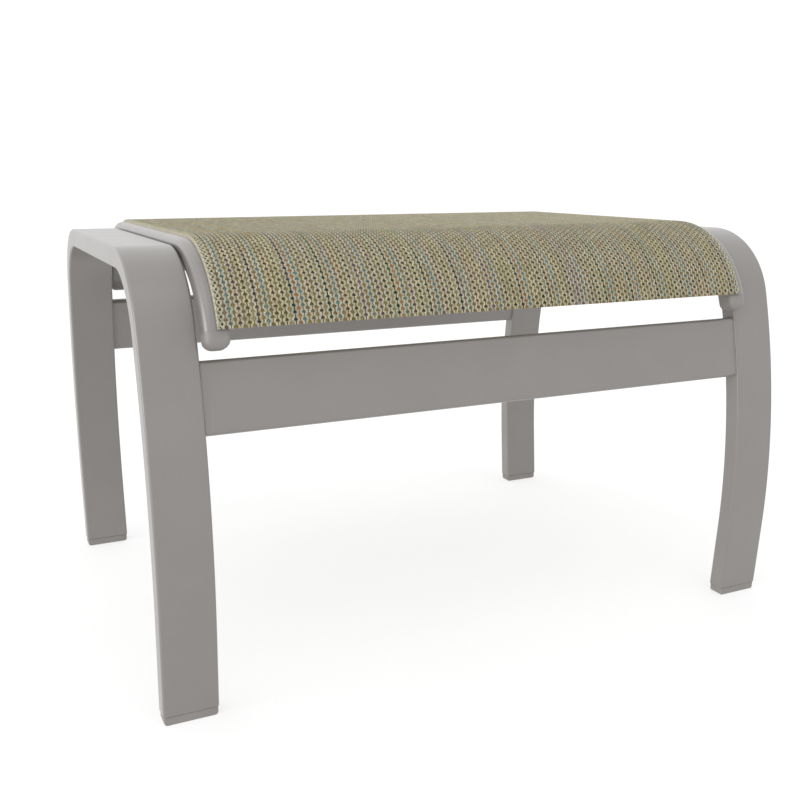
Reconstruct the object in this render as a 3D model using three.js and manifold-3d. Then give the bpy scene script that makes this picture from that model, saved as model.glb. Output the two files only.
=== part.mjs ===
// Outdoor sling ottoman. Two inverted-U side frames of flat tube are joined by a front and a rear
// stretcher. Beside each frame a bent sling rail holds one edge of a woven sling, and two spreader bars
// under the sling keep the rails apart.
// Millimetres. X runs from side frame to side frame, Y from front to rear and Z up. The origin is on the
// ground under the middle.

import * as THREE from 'three';
import { mergeVertices } from 'three/addons/utils/BufferGeometryUtils.js';
import Module from 'manifold-3d';

const wasm = await Module();
wasm.setup();

const { degToRad } = THREE.MathUtils;

// Clearances
const fitGap = 0.3; // between pieces that seat on, fit in or are welded to each other
const cutOverrun = 1; // how far a cutter or a joined lump passes the face it meets

// Side frames, measured on the outer face of the bent tube
const overallWidth = 635.5;
const frameHeight = 381;
const frameFlatHalf = 130; // half of the straight top
const shoulderRadius = 80;
const shoulderTurn = degToRad(75.7);
const bowTurn = degToRad(18.5); // the leg's gentle bow, which leaves the foot leaning inwards
const footStraight = 64;
const barWidth = 46.5;
const barThickness = 18;
const barEdgeRadius = 2;
const barWall = 2;

// Glides
const glideHeight = 8;
const glideInset = 1; // glide inside the tube's outline
const glideEdgeRadius = 2;
const glidePlugLength = 14;

// Stretchers
const stretcherDrop = 112.9; // from the top of the side frames to the stretcher's middle
const stretcherRecess = 2.7; // behind the outer face of the legs
const stretcherHeight = 59.2;
const stretcherThickness = 12;
const stretcherEdgeRadius = 3.5;
const stretcherWall = 1.5;

// Sling, measured on its outer face
const slingRise = 8.7; // above the top of the side frames
const slingFlatHalf = 138;
const slingBendRadius = 96;
const slingTurn = degToRad(72.05);
const slingThickness = 1.2;
const splineRadius = 2; // rod in the sling's hem

// Sling rails
const railGap = 1.5; // between a rail and its side frame
const railWidth = 20;
const railThickness = 18.5; // from the underside to the outboard shoulder
const railEdgeRadius = 3;
const railShoulderRadius = 6; // outboard edge beside the sling
const railWall = 1.5;
const railLipThickness = 1.9; // outboard shoulder over the hem channel
const railLipRise = 1.2; // inboard lip above the outboard shoulder
const railPastSling = 0.4; // bare end of the rail below the sling
const slotClearance = 0.6; // each side of the sling in the rail's slot

// Rail end caps
const capLength = 14;
const capNoseRadius = 7.6;
const capPlugLength = 6;
const capPlugClearance = 0.5;

// Spreader bars and their end plates
const spreaderSetback = 45; // from the end of the frame's straight top to the bar's axis
const spreaderRadius = 8;
const spreaderWall = 1.2;
const plateThickness = 3;
const plateHeight = 16;
const plateMargin = 3; // round the screw heads
const plateCornerRadius = 4;

// Rail screws and the rivet nuts that take them
const screwRadius = 2.5;
const screwHeadRadius = 4.75;
const screwHeadHeight = 2.8;
const screwHeadEdge = 0.8;
const screwHeadRoom = 3.25; // between a screw head and the spreader bar
const screwPastNut = 1;
const socketRadius = 1.7;
const socketDepth = 1.6;
const nutBarrelRadius = 3.5;
const nutFlangeRadius = 5;
const nutLength = 11;

// How finely round shapes are divided
const cornerSteps = 2;
const boreCornerSteps = 1;
const shoulderSteps = 10;
const bowSteps = 6;
const slingBendSteps = 12;
const hemSteps = 8;
const noseSteps = 3;
const rodSides = 8;
const boreSides = 12;
const barSides = 16;

// Places across the width
const frameInnerX = overallWidth / 2 - barWidth;
const frameMiddleX = frameInnerX + barWidth / 2;
const railOuterX = frameInnerX - railGap;
const railMiddleX = railOuterX - railWidth / 2;
const railInnerX = railOuterX - railWidth;
const plateMiddleX = railInnerX - fitGap - plateThickness / 2;
const plateInnerX = railInnerX - fitGap - plateThickness;
const screwSeatX = plateInnerX - fitGap;
const nutFaceX = railOuterX + fitGap;

// Heights in the rail's section, from the outer face of the sling downwards
const lipFace = -slingThickness - fitGap;
const shoulderFace = lipFace - railLipRise;
const railUnderside = shoulderFace - railThickness;
const railMiddle = (shoulderFace + railUnderside) / 2;
const hemRadius = splineRadius + fitGap + slingThickness;
const channelRadius = hemRadius + fitGap;
const channelMiddle = shoulderFace - railLipThickness - channelRadius;
const slotHalf = slingThickness / 2 + slotClearance;
const chamberTop = channelMiddle - channelRadius - railWall;
const chamberBottom = railUnderside + railWall;
const chamberMiddle = (chamberTop + chamberBottom) / 2;
const chamberHeight = chamberTop - chamberBottom;
const chamberWidth = railWidth - 2 * railWall;

// The screws run through the middle of the rail's chamber, a pair beside each end of a spreader bar
const slingHeight = frameHeight + slingRise;
const screwZ = slingHeight + chamberMiddle;
const spreaderY = frameFlatHalf - spreaderSetback;
const screwOffset = spreaderRadius + screwHeadRoom + screwHeadRadius;
const plateLength = 2 * (screwOffset + screwHeadRadius + plateMargin);
const screwPlacesY = [1, -1].flatMap((end) => [1, -1].map((step) => end * spreaderY + step * screwOffset));

const sides = [{ name: 'left', sign: -1 }, { name: 'right', sign: 1 }];
const ends = [{ name: 'front', sign: -1, turn: Math.PI }, { name: 'rear', sign: 1, turn: 0 }];

// Finishes
function powderCoat() {
  return new THREE.MeshStandardMaterial({ color: 0x8e8a87, roughness: 0.55, metalness: 0.2 });
}

function mouldedPlastic() {
  return new THREE.MeshStandardMaterial({ color: 0x8c8885, roughness: 0.6, metalness: 0 });
}

function wovenVinyl() {
  return new THREE.MeshStandardMaterial({ color: 0x9a9478, roughness: 0.85, metalness: 0 });
}

function hemRod() {
  return new THREE.MeshStandardMaterial({ color: 0x2c2c2c, roughness: 0.5, metalness: 0 });
}

function zincSteel() {
  return new THREE.MeshStandardMaterial({ color: 0xb4b6b8, roughness: 0.35, metalness: 0.9 });
}

// Outlines
function arcPoints(x, y, radius, from, to, steps) {
  const points = [];
  for (let step = 0; step <= steps; step += 1) {
    const angle = from + (to - from) * (step / steps);
    points.push(new THREE.Vector2(x + radius * Math.cos(angle), y + radius * Math.sin(angle)));
  }
  return points;
}

function circlePoints(x, y, radius, count) {
  return arcPoints(x, y, radius, 0, 2 * Math.PI, count).slice(0, count);
}

// The radii start at the corner where x and y are highest and go round through the one where x is lowest
function unevenlyRoundedPoints(width, height, radii, middleY = 0, steps = cornerSteps) {
  const quarter = Math.PI / 2;
  const corners = [[1, 1], [-1, 1], [-1, -1], [1, -1]];
  return corners.flatMap(([right, up], index) => {
    const radius = radii[index];
    const x = right * (width / 2 - radius);
    const y = middleY + up * (height / 2 - radius);
    return arcPoints(x, y, radius, index * quarter, (index + 1) * quarter, steps);
  });
}

function roundedPoints(width, height, radius, middleY = 0, steps = cornerSteps) {
  return unevenlyRoundedPoints(width, height, [radius, radius, radius, radius], middleY, steps);
}

function shapeOf(outline, holes = []) {
  const shape = new THREE.Shape(outline);
  shape.holes = holes.map((hole) => new THREE.Path(hole));
  return shape;
}

function tubeShape(width, height, radius, wall, middleY = 0) {
  const innerRadius = Math.max(radius - wall, wall / 2);
  const bore = roundedPoints(width - 2 * wall, height - 2 * wall, innerRadius, middleY, boreCornerSteps);
  return shapeOf(roundedPoints(width, height, radius, middleY), [bore]);
}

// Half of a bent path, from the middle of the top outwards and down. The heading is zero along the top
// and a right angle straight down. Each station keeps its place and the direction out of the bend.
function startPath(z) {
  return { y: 0, z, heading: 0, stations: [] };
}

function addStation(path) {
  path.stations.push({ y: path.y, z: path.z, ny: Math.sin(path.heading), nz: Math.cos(path.heading) });
}

function goStraight(path, length) {
  path.y += length * Math.cos(path.heading);
  path.z -= length * Math.sin(path.heading);
  addStation(path);
}

function goRound(path, radius, turn, steps) {
  for (let step = 0; step < steps; step += 1) {
    const heading = path.heading + turn / steps;
    path.y += radius * (Math.sin(heading) - Math.sin(path.heading));
    path.z += radius * (Math.cos(heading) - Math.cos(path.heading));
    path.heading = heading;
    addStation(path);
  }
}

// A straight leg that is cut off level at height z
function goDownTo(path, z) {
  path.y += (path.z - z) / Math.tan(path.heading);
  path.z = z;
  path.stations.push({ y: path.y, z, ny: 1 / Math.sin(path.heading), nz: 0 });
}

// The whole path from its rear end over the top to its front end
function bothHalves(stations) {
  const front = stations.map(({ y, z, ny, nz }) => ({ y: -y, z, ny: -ny, nz }));
  return [...stations].reverse().concat(front);
}

// A section swept along a path: the outline's x stays across the object and its y points out of the bend
function bendAlong(shape, stations) {
  const steps = stations.length - 1;
  const geometry = new THREE.ExtrudeGeometry(shape, { depth: steps, steps, bevelEnabled: false });
  const position = geometry.attributes.position;
  for (let index = 0; index < position.count; index += 1) {
    const { y, z, ny, nz } = stations[Math.round(position.getZ(index))];
    const out = position.getY(index);
    position.setXYZ(index, position.getX(index), y + out * ny, z + out * nz);
  }
  geometry.computeVertexNormals();
  return geometry;
}

// A rounded outline stacked at rising levels, each drawn in by its inset and moved over by its shift
function stackOutline(width, depth, outline, levels) {
  const steps = levels.length - 1;
  const shape = shapeOf(outline);
  const geometry = new THREE.ExtrudeGeometry(shape, { depth: steps, steps, bevelEnabled: false });
  const position = geometry.attributes.position;
  for (let index = 0; index < position.count; index += 1) {
    const { z, inset, shift } = levels[Math.round(position.getZ(index))];
    const x = position.getX(index) * (1 - (2 * inset) / width);
    const y = position.getY(index) * (1 - (2 * inset) / depth) + shift;
    position.setXYZ(index, x, y, z);
  }
  geometry.computeVertexNormals();
  return geometry;
}

// An outline drawn in Y and Z that runs along X, centred
function runAlongX(shape, length) {
  const geometry = new THREE.ExtrudeGeometry(shape, { depth: length, bevelEnabled: false });
  geometry.translate(0, 0, -length / 2);
  geometry.rotateY(Math.PI / 2);
  geometry.rotateX(Math.PI / 2);
  return geometry;
}

// Booleans
function toSolid(geometry) {
  const bare = new THREE.BufferGeometry();
  bare.setAttribute('position', geometry.attributes.position);
  bare.setIndex(geometry.index);
  const merged = mergeVertices(bare);
  return new wasm.Manifold(new wasm.Mesh({
    numProp: 3,
    vertProperties: new Float32Array(merged.attributes.position.array),
    triVerts: new Uint32Array(merged.index.array),
  }));
}

function toGeometry(solid) {
  const mesh = solid.getMesh();
  const geometry = new THREE.BufferGeometry();
  geometry.setAttribute('position', new THREE.BufferAttribute(mesh.vertProperties, mesh.numProp));
  geometry.setIndex(new THREE.BufferAttribute(mesh.triVerts, 1));
  geometry.computeVertexNormals();
  return geometry;
}

function joined(first, second) {
  return toGeometry(toSolid(first).add(toSolid(second)));
}

// The screw holes of one side, drilled along X from one place to another
function withScrewHoles(geometry, fromX, toX, radius) {
  let solid = toSolid(geometry);
  for (const y of screwPlacesY) {
    const drill = new THREE.CylinderGeometry(radius, radius, Math.abs(toX - fromX), boreSides);
    drill.rotateZ(Math.PI / 2);
    drill.translate((fromX + toX) / 2, y, screwZ);
    solid = solid.subtract(toSolid(drill));
  }
  return toGeometry(solid);
}

// Side frame: straight top, two shoulders, bowed legs and straight feet
const shoulderEndZ = frameHeight - shoulderRadius * (1 - Math.cos(shoulderTurn));
const shoulderEndY = frameFlatHalf + shoulderRadius * Math.sin(shoulderTurn);
const footEndZ = glideHeight + fitGap;
const footHeading = shoulderTurn + bowTurn;
const footStartZ = footEndZ + footStraight;
const bowRadius = (shoulderEndZ - footStartZ) / (Math.cos(shoulderTurn) - Math.cos(footHeading));

function framePath() {
  const path = startPath(frameHeight);
  goStraight(path, frameFlatHalf);
  goRound(path, shoulderRadius, shoulderTurn, shoulderSteps);
  goRound(path, bowRadius, bowTurn, bowSteps);
  goDownTo(path, footEndZ);
  return path;
}

// The outer face of the bowed leg at height z, for the rear leg
function legFaceAt(z) {
  const heading = Math.acos(Math.cos(shoulderTurn) - (shoulderEndZ - z) / bowRadius);
  return { y: shoulderEndY + bowRadius * (Math.sin(heading) - Math.sin(shoulderTurn)), z, heading };
}

function sideFrame(side) {
  const section = tubeShape(barWidth, barThickness, barEdgeRadius, barWall, -barThickness / 2);
  const tube = bendAlong(section, bothHalves(framePath().stations));
  tube.translate(side.sign * frameMiddleX, 0, 0);
  const fromX = side.sign * (frameInnerX - cutOverrun);
  const toX = side.sign * (frameInnerX + barWall + cutOverrun);
  return withScrewHoles(tube, fromX, toX, nutBarrelRadius + fitGap);
}

// Glide: a rounded foot below the tube with a plug that follows the leg's lean up into it
function glide() {
  const depth = barThickness / Math.sin(footHeading);
  const lean = -1 / Math.tan(footHeading);
  const levels = [];
  for (let step = 0; step <= cornerSteps; step += 1) {
    const angle = (Math.PI / 2) * (step / cornerSteps);
    const z = glideEdgeRadius * (1 - Math.cos(angle));
    levels.push({ z, inset: glideInset + glideEdgeRadius * (1 - Math.sin(angle)), shift: 0 });
  }
  levels.push({ z: glideHeight, inset: glideInset, shift: 0 });
  levels.push({ z: glideHeight, inset: barWall + fitGap, shift: 0 });
  const plugTop = glideHeight + glidePlugLength;
  levels.push({ z: plugTop, inset: barWall + fitGap, shift: lean * (plugTop - footEndZ) });
  return stackOutline(barWidth, depth, roundedPoints(barWidth, depth, barEdgeRadius), levels);
}

// Stretcher: flat tube that follows the lean of the legs
function stretcher() {
  const length = 2 * (frameInnerX - fitGap);
  return runAlongX(tubeShape(stretcherThickness, stretcherHeight, stretcherEdgeRadius, stretcherWall), length);
}

// Sling and rails share one path, and the rails run on a little past the sling
function slingPath() {
  const path = startPath(slingHeight);
  goStraight(path, slingFlatHalf);
  goRound(path, slingBendRadius, slingTurn, slingBendSteps);
  return path;
}

function railPath() {
  const path = slingPath();
  goStraight(path, railPastSling);
  return path;
}

// A narrow neck of half width neckHalf into a circle, traced down one side, round and up the other
function neckAndCircle(middleX, middleY, radius, neckHalf) {
  const start = Math.acos(neckHalf / radius);
  return arcPoints(middleX, middleY, radius, start, -Math.PI - start, hemSteps);
}

function railOutline() {
  const quarter = Math.PI / 2;
  const x = railWidth / 2 - railEdgeRadius;
  const shoulderX = railWidth / 2 - railShoulderRadius;
  const low = railUnderside + railEdgeRadius;
  return [
    ...arcPoints(-x, low, railEdgeRadius, 2 * quarter, 3 * quarter, cornerSteps),
    ...arcPoints(x, low, railEdgeRadius, 3 * quarter, 4 * quarter, cornerSteps),
    ...arcPoints(shoulderX, shoulderFace - railShoulderRadius, railShoulderRadius, 0, quarter, cornerSteps + 1),
    new THREE.Vector2(slotHalf, shoulderFace),
    ...neckAndCircle(0, channelMiddle, channelRadius, slotHalf),
    new THREE.Vector2(-slotHalf, lipFace),
    ...arcPoints(-x, lipFace - railEdgeRadius, railEdgeRadius, quarter, 2 * quarter, cornerSteps),
  ];
}

// Rail: a closed chamber for the screws under an open channel for the sling's hem
function slingRail(side) {
  const outline = railOutline().map(({ x, y }) => new THREE.Vector2(side.sign * x, y));
  const chamber = roundedPoints(chamberWidth, chamberHeight, railWall / 2, chamberMiddle, boreCornerSteps);
  const rail = bendAlong(shapeOf(outline, [chamber]), bothHalves(railPath().stations));
  rail.translate(side.sign * railMiddleX, 0, 0);
  const fromX = side.sign * (railInnerX - cutOverrun);
  const toX = side.sign * (railOuterX + cutOverrun);
  return withScrewHoles(rail, fromX, toX, screwRadius + fitGap);
}

// End cap: the rail's outline drawn in to a rounded nose, with a plug in the rail's chamber
function railCap(outboard) {
  const [edge, shoulder] = [railEdgeRadius, railShoulderRadius];
  const radii = outboard > 0 ? [shoulder, edge, edge, edge] : [edge, shoulder, edge, edge];
  const levels = [];
  for (let step = 0; step <= noseSteps; step += 1) {
    const angle = (Math.PI / 2) * (step / noseSteps);
    const z = -capLength + capNoseRadius * (1 - Math.cos(angle));
    levels.push({ z, inset: capNoseRadius * (1 - Math.sin(angle)), shift: railMiddle });
  }
  levels.push({ z: -fitGap, inset: 0, shift: railMiddle });
  const outline = unevenlyRoundedPoints(railWidth, railThickness, radii);
  const body = stackOutline(railWidth, railThickness, outline, levels);
  const plug = new THREE.BoxGeometry(
    chamberWidth - 2 * capPlugClearance, chamberHeight - 2 * capPlugClearance, capPlugLength + cutOverrun,
  );
  plug.translate(0, chamberMiddle, (capPlugLength - cutOverrun) / 2 - fitGap);
  return joined(body, plug);
}

// Sling: one sheet whose edges go down through the slots and loop round the hem rods
function slingOutline() {
  const neckHalf = slingThickness / 2;
  const turnX = railMiddleX + neckHalf - slingThickness;
  const right = [
    ...arcPoints(turnX, -slingThickness, slingThickness, Math.PI / 2, 0, cornerSteps),
    ...neckAndCircle(railMiddleX, channelMiddle, hemRadius, neckHalf),
    new THREE.Vector2(railMiddleX - neckHalf, -slingThickness - fitGap / 2),
    new THREE.Vector2(railMiddleX - neckHalf - fitGap / 2, -slingThickness),
  ];
  const left = right.map(({ x, y }) => new THREE.Vector2(-x, y)).reverse();
  return [...right, ...left];
}

function sling() {
  const rodHoles = sides.map(({ sign }) => circlePoints(
    sign * railMiddleX, channelMiddle, splineRadius + fitGap, rodSides,
  ));
  return bendAlong(shapeOf(slingOutline(), rodHoles), bothHalves(slingPath().stations));
}

function hemSpline(side) {
  const rod = shapeOf(circlePoints(side.sign * railMiddleX, channelMiddle, splineRadius, rodSides));
  return bendAlong(rod, bothHalves(slingPath().stations));
}

// Spreader bar: a round tube between two plates that lie against the rails
function spreaderBar() {
  const ring = shapeOf(
    circlePoints(0, 0, spreaderRadius, barSides),
    [circlePoints(0, 0, spreaderRadius - spreaderWall, barSides)],
  );
  return runAlongX(ring, 2 * (plateInnerX - fitGap));
}

function spreaderPlate() {
  const holes = [1, -1].map((step) => circlePoints(step * screwOffset, 0, screwRadius + fitGap, boreSides));
  return runAlongX(shapeOf(roundedPoints(plateLength, plateHeight, plateCornerRadius), holes), plateThickness);
}

function lathe(profile) {
  return new THREE.LatheGeometry(profile.map(([radius, along]) => new THREE.Vector2(radius, along)), boreSides);
}

// Screw, along Y from the socket in its head to its tip, with its seat at zero
function railScrew() {
  const length = nutFaceX + nutLength + screwPastNut - screwSeatX;
  return lathe([
    [0, socketDepth - screwHeadHeight],
    [socketRadius, socketDepth - screwHeadHeight],
    [socketRadius, -screwHeadHeight],
    [screwHeadRadius - screwHeadEdge, -screwHeadHeight],
    [screwHeadRadius, screwHeadEdge - screwHeadHeight],
    [screwHeadRadius, 0],
    [screwRadius, 0],
    [screwRadius, length],
    [0, length],
  ]);
}

// Rivet nut, along Y from its flange, which keeps rail and frame apart, to the end of its barrel
function rivetNut() {
  const boreRadius = screwRadius + fitGap;
  const flangeEnd = railGap - 2 * fitGap;
  return lathe([
    [boreRadius, 0],
    [nutFlangeRadius, 0],
    [nutFlangeRadius, flangeEnd],
    [nutBarrelRadius, flangeEnd],
    [nutBarrelRadius, nutLength],
    [boreRadius, nutLength],
    [boreRadius, 0],
  ]);
}

// Assembly
const ottoman = new THREE.Group();

function addPiece(parent, name, geometry, material) {
  const mesh = new THREE.Mesh(geometry, material);
  mesh.name = name;
  parent.add(mesh);
  return mesh;
}

for (const side of sides) {
  addPiece(ottoman, `${side.name}_side_frame`, sideFrame(side), powderCoat());
  addPiece(ottoman, `${side.name}_sling_rail`, slingRail(side), powderCoat());
  addPiece(ottoman, `${side.name}_hem_spline`, hemSpline(side), hemRod());
}
addPiece(ottoman, 'sling', sling(), wovenVinyl());

// What is the same at the rear and at the front is made for the rear and turned half round for the front
const foot = framePath();
const railEnd = railPath();
const stretcherFace = legFaceAt(frameHeight - stretcherDrop);
const stretcherSetIn = stretcherRecess + stretcherThickness / 2;

for (const end of ends) {
  const endGroup = new THREE.Group();
  endGroup.rotation.z = end.turn;
  ottoman.add(endGroup);

  const cross = addPiece(endGroup, `${end.name}_stretcher`, stretcher(), powderCoat());
  cross.rotation.x = Math.PI / 2 - stretcherFace.heading;
  cross.position.y = stretcherFace.y - stretcherSetIn * Math.sin(stretcherFace.heading);
  cross.position.z = stretcherFace.z - stretcherSetIn * Math.cos(stretcherFace.heading);

  const spreader = addPiece(endGroup, `${end.name}_spreader_bar`, spreaderBar(), powderCoat());
  spreader.position.set(0, spreaderY, screwZ);

  for (const side of sides) {
    const sideways = side.sign * end.sign;
    const corner = `${end.name}_${side.name}`;

    const glidePiece = addPiece(endGroup, `${corner}_glide`, glide(), mouldedPlastic());
    glidePiece.position.x = sideways * frameMiddleX;
    glidePiece.position.y = foot.y - barThickness / Math.sin(footHeading) / 2;

    const cap = addPiece(endGroup, `${corner}_rail_cap`, railCap(sideways), mouldedPlastic());
    cap.rotation.x = Math.PI / 2 - railEnd.heading;
    cap.position.set(sideways * railMiddleX, railEnd.y, railEnd.z);

    const plate = addPiece(endGroup, `${corner}_spreader_plate`, spreaderPlate(), powderCoat());
    plate.position.set(sideways * plateMiddleX, spreaderY, screwZ);
  }
}

// Screws and nuts, four to a side from rear to front
for (const side of sides) {
  screwPlacesY.forEach((y, index) => {
    const screw = addPiece(ottoman, `${side.name}_rail_screw_${index + 1}`, railScrew(), zincSteel());
    screw.rotation.z = -side.sign * (Math.PI / 2);
    screw.position.set(side.sign * screwSeatX, y, screwZ);

    const nut = addPiece(ottoman, `${side.name}_rivet_nut_${index + 1}`, rivetNut(), zincSteel());
    nut.rotation.z = -side.sign * (Math.PI / 2);
    nut.position.set(side.sign * nutFaceX, y, screwZ);
  });
}

export default ottoman;
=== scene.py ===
import math

import bmesh
import bpy
import numpy as np
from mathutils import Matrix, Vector
from mathutils.geometry import tessellate_polygon


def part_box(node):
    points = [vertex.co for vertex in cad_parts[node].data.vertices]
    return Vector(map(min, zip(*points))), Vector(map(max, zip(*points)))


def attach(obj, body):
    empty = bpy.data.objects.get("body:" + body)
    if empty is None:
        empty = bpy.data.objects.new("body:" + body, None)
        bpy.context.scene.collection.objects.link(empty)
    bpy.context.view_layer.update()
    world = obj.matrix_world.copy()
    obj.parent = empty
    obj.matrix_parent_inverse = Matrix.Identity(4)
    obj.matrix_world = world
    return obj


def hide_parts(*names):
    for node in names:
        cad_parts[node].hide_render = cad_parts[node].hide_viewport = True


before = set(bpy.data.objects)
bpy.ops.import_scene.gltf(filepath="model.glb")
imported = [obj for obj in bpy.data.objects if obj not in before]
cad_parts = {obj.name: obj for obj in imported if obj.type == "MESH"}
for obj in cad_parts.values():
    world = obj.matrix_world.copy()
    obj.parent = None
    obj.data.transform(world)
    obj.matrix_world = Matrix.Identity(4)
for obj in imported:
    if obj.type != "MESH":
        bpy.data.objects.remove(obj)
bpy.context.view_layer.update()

# An outdoor footstool: a woven sling between two bent rails, carried by two bent side frames. The
# rigid pieces, all but the rivet nuts, are made again from the frame's sizes with finer bends, and
# the sling is woven strand by strand. Metres, in the frame's axes.

MM = 0.001

# Sizes read from the frame
side_low, side_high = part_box("right_side_frame")
rail_low, rail_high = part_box("right_sling_rail")
_, sling_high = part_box("sling")
_, glide_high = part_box("rear_right_glide")
spreader_low, spreader_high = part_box("rear_spreader_bar")
plate_low, plate_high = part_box("rear_right_spreader_plate")
FRAME_HEIGHT = side_high.z
FRAME_MIDDLE_X = (side_low.x + side_high.x) / 2
FRAME_INNER_X = side_low.x
BAR_WIDTH = side_high.x - side_low.x
FOOT_END_Z = side_low.z
RAIL_WIDTH = rail_high.x - rail_low.x
RAIL_MIDDLE_X = (rail_low.x + rail_high.x) / 2
SLING_HEIGHT = sling_high.z
SPREADER_Y = (spreader_low.y + spreader_high.y) / 2
SPREADER_Z = (spreader_low.z + spreader_high.z) / 2
SPREADER_RADIUS = (spreader_high.z - spreader_low.z) / 2

# Clearances
FIT_GAP = 0.3 * MM
WELD_GAP = 0.1 * MM
CUT_OVERRUN = 1 * MM

# Side frames, on the outer face of the bent tube
FRAME_FLAT_HALF = 130 * MM
SHOULDER_RADIUS = 80 * MM
SHOULDER_TURN = math.radians(75.7)
BOW_TURN = math.radians(18.5)
FOOT_STRAIGHT = 64 * MM
BAR_THICKNESS = 18 * MM
BAR_EDGE_RADIUS = 2.2 * MM
BAR_WALL = 2 * MM

# Glides
GLIDE_HEIGHT = 8 * MM
GLIDE_INSET = 0.7 * MM
GLIDE_END_RADIUS = 3 * MM
GLIDE_FACE_RADIUS = 1.2 * MM
GLIDE_RIM = 0.5 * MM
GLIDE_LEAST_RADIUS = 0.5 * MM

# Stretchers
STRETCHER_DROP = 112.9 * MM
STRETCHER_RECESS = 2.7 * MM
STRETCHER_HEIGHT = 59.2 * MM
STRETCHER_THICKNESS = 12 * MM
STRETCHER_EDGE_RADIUS = 3.5 * MM
STRETCHER_WALL = 1.5 * MM
STRETCHER_BEAD = 0.5 * MM

# Sling and rails, on the sling's outer face
SLING_FLAT_HALF = 138 * MM
SLING_BEND_RADIUS = 96 * MM
SLING_TURN = math.radians(72.05)
SLING_THICKNESS = 1.2 * MM
SPLINE_RADIUS = 2 * MM
RAIL_THICKNESS = 18.5 * MM
RAIL_EDGE_RADIUS = 3.6 * MM
RAIL_SHOULDER_RADIUS = 6 * MM
RAIL_WALL = 1.5 * MM
RAIL_LIP_THICKNESS = 1.9 * MM
RAIL_LIP_RISE = 1.2 * MM
RAIL_LIP_EDGE = 0.4 * MM
RAIL_PAST_SLING = 0.4 * MM
SLOT_HALF = 0.45 * MM
HEM_DEPTH = 4 * MM

# Rail end caps
CAP_LENGTH = 14 * MM
CAP_NOSE_RADIUS = 7.6 * MM
CAP_LEAST_RADIUS = 1 * MM
CAP_EDGE_SHARE = 0.4
CAP_SHOULDER_SHARE = 0.6
CAP_PLUG_LENGTH = 6 * MM
CAP_PLUG_RADIUS = 0.6 * MM
CAP_PLUG_CLEARANCE = 0.5 * MM
CAP_SEAM = 0.05 * MM
CAP_RIM = 0.1 * MM

# Spreader bars, plates and rail screws
SPREADER_WALL = 1.2 * MM
SPREADER_BEAD = 1.8 * MM
BEAD_RIPPLE = 0.12 * MM
BEAD_RIPPLES = 36
PLATE_EDGE = 0.5 * MM
PLATE_CORNER_RADIUS = 4 * MM
SCREW_RADIUS = 2.5 * MM
SCREW_HEAD_RADIUS = 4.75 * MM
SCREW_HEAD_HEIGHT = 2.8 * MM
SCREW_HEAD_ROOM = 3.25 * MM
SCREW_HEAD_SIDE_SHARE = 0.6
SCREW_CROWN_SHARE = 0.3
SCREW_TIP_EDGE = 0.6 * MM
SOCKET_RADIUS = 1.7 * MM
SOCKET_DEPTH = 1.6 * MM
NUT_HOLE_RADIUS = 3.8 * MM

# Cloth of the sling
WARP_PITCH = 3.725 * MM
WARP_START = -234.5 * MM
WARP_EDGE_INSET = 0.65 * MM
WEFT_PITCH = 2.875 * MM
CLOTH_THICKNESS = 0.16 * MM
WEFT_HEIGHT = -0.22 * MM
WEFT_WAVE = 0.1 * MM
WEFT_HALF_THICKNESS = 0.2 * MM
WEFT_HALF_WIDTH = 1.1 * MM
WARP_HEIGHT = 0.08 * MM
WARP_WAVE = 0.12 * MM
WARP_HALF_THICKNESS = 0.18 * MM
DARK_WARP_HALF_WIDTH = 1.4 * MM
LIGHT_WARP_HALF_WIDTH = 1.5 * MM
LACE_HALF_THICKNESS = 0.17 * MM
HEM_LOOP_RADIUS = SPLINE_RADIUS + FIT_GAP + CLOTH_THICKNESS
WARP_SHIFT = 0.04 * WARP_PITCH
LACE_SHIFT = 0.05 * WARP_PITCH
LACE_LIFT = 0.04 * MM

# How deep the grain of each finish is
COAT_GRAIN_DEPTH = 0.05 * MM
COAT_RIPPLE_DEPTH = 0.08 * MM
PLASTIC_GRAIN_DEPTH = 0.04 * MM
ROD_GRAIN_DEPTH = 0.05 * MM
ZINC_GRAIN_DEPTH = 0.03 * MM
YARN_GRAIN_DEPTH = 0.06 * MM
YARN_RIDGE_DEPTH = 0.09 * MM
CORE_GRAIN_DEPTH = 0.05 * MM

# How the finishes' patterns are made
YARN_RIDGES = 3
NOISE_ROUGHNESS = 0.55
NOISE_DETAIL = 3
FINE_DETAIL = 2
COLOUR_SHARES = (0.3, 0.7)
SPECKLE_SHARES = (0.38, 0.66)
WEAR_SHARES = (0.3, 0.72)
# Painted light: how strongly the sling's core glows
CORE_PAINTED_GLOW = 0.2
FLOOR_GLOW = 0.7

# How finely round shapes are divided
CORNER_STEPS = 6
FLAT_STEPS = 4
CLOTH_FLAT_STEPS = 24
SHOULDER_STEPS = 40
BOW_STEPS = 24
SLING_BEND_STEPS = 48
ROD_SIDES = 24
BAR_SIDES = 48
SCREW_SIDES = 36
SCREW_CROWN_STEPS = 6
BEAD_SIDES = 180
BEAD_STEPS = 6
FINE_BEAD_STEPS = 4
WEFT_END_STEPS = 3
WEFT_PIECES = 2
WARP_PIECES = 2
LACE_PIECES = 4

# Faces that meet at less than these degrees are shaded as one
SMOOTH_BELOW = 35
PLATE_SMOOTH_BELOW = 50
WELD_SMOOTH_BELOW = 60

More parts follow.
